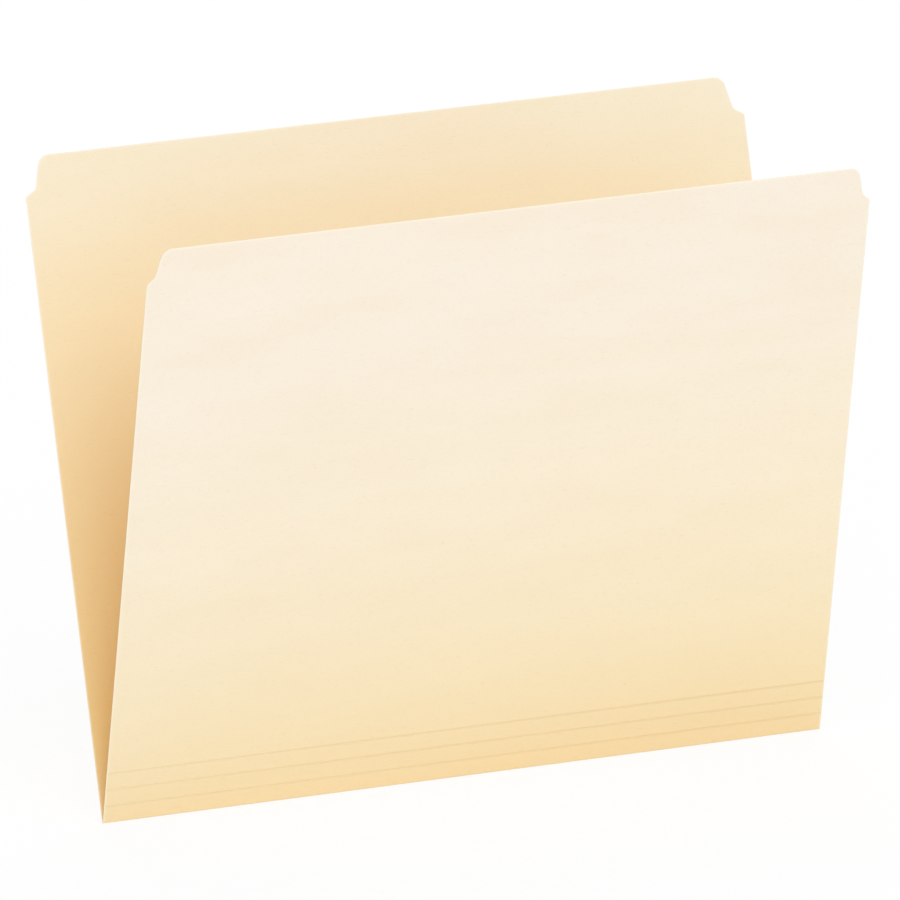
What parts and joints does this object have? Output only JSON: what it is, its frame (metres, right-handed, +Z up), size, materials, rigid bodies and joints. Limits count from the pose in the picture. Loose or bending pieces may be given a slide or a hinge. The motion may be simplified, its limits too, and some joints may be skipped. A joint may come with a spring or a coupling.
{
  "type": "manila folder",
  "caption": "Folded card file folder with a shorter front leaf, stepped full-width tabs and score lines above the fold that let the bottom be squared.",
  "frame": {"origin": "middle of the fold's length, at the fold's lowest line, where the folder stands", "axes": "+X along the fold, +Y from the front leaf towards the back leaf, +Z up"},
  "size_m": [0.2984, 0.0969, 0.2338],
  "materials": {
    "manila_card": "matte, lightly calendered"
  },
  "bodies": {
    "fold": {"main_fold": "manila_card"},
    "back_leaf": {"back_panel": "manila_card"},
    "front_foot": {"expansion_strip_1": "manila_card"},
    "expansion_base": {"score_crease_1": "manila_card", "expansion_strip_2": "manila_card", "score_crease_2": "manila_card", "expansion_strip_3": "manila_card"},
    "front_leaf": {"score_crease_3": "manila_card", "front_panel": "manila_card"}
  },
  "joints": [
    {"name": "back_leaf_swing", "type": "hinge", "parent": "fold", "child": "back_leaf", "pos_m": [0, 0, 0.00038], "axis": [1, 0, 0], "range_deg": [-75.66, 14.34]},
    {"name": "front_leaf_swing", "type": "hinge", "parent": "fold", "child": "front_foot", "pos_m": [0, 0, 0.00038], "axis": [-1, 0, 0], "range_deg": [-80.45, 9.55]},
    {"name": "lower_score_bend", "type": "hinge", "parent": "front_foot", "child": "expansion_base", "pos_m": [0, -0.00123, 0.00623], "axis": [1, 0, 0], "range_deg": [0, 90]},
    {"name": "upper_score_bend", "type": "hinge", "parent": "expansion_base", "child": "front_leaf", "pos_m": [0, -0.00333, 0.01875], "axis": [-1, 0, 0], "range_deg": [0, 90]}
  ],
  "couplings": [
    {"joint": "lower_score_bend", "follows": "upper_score_bend", "ratio": 1}
  ]
}
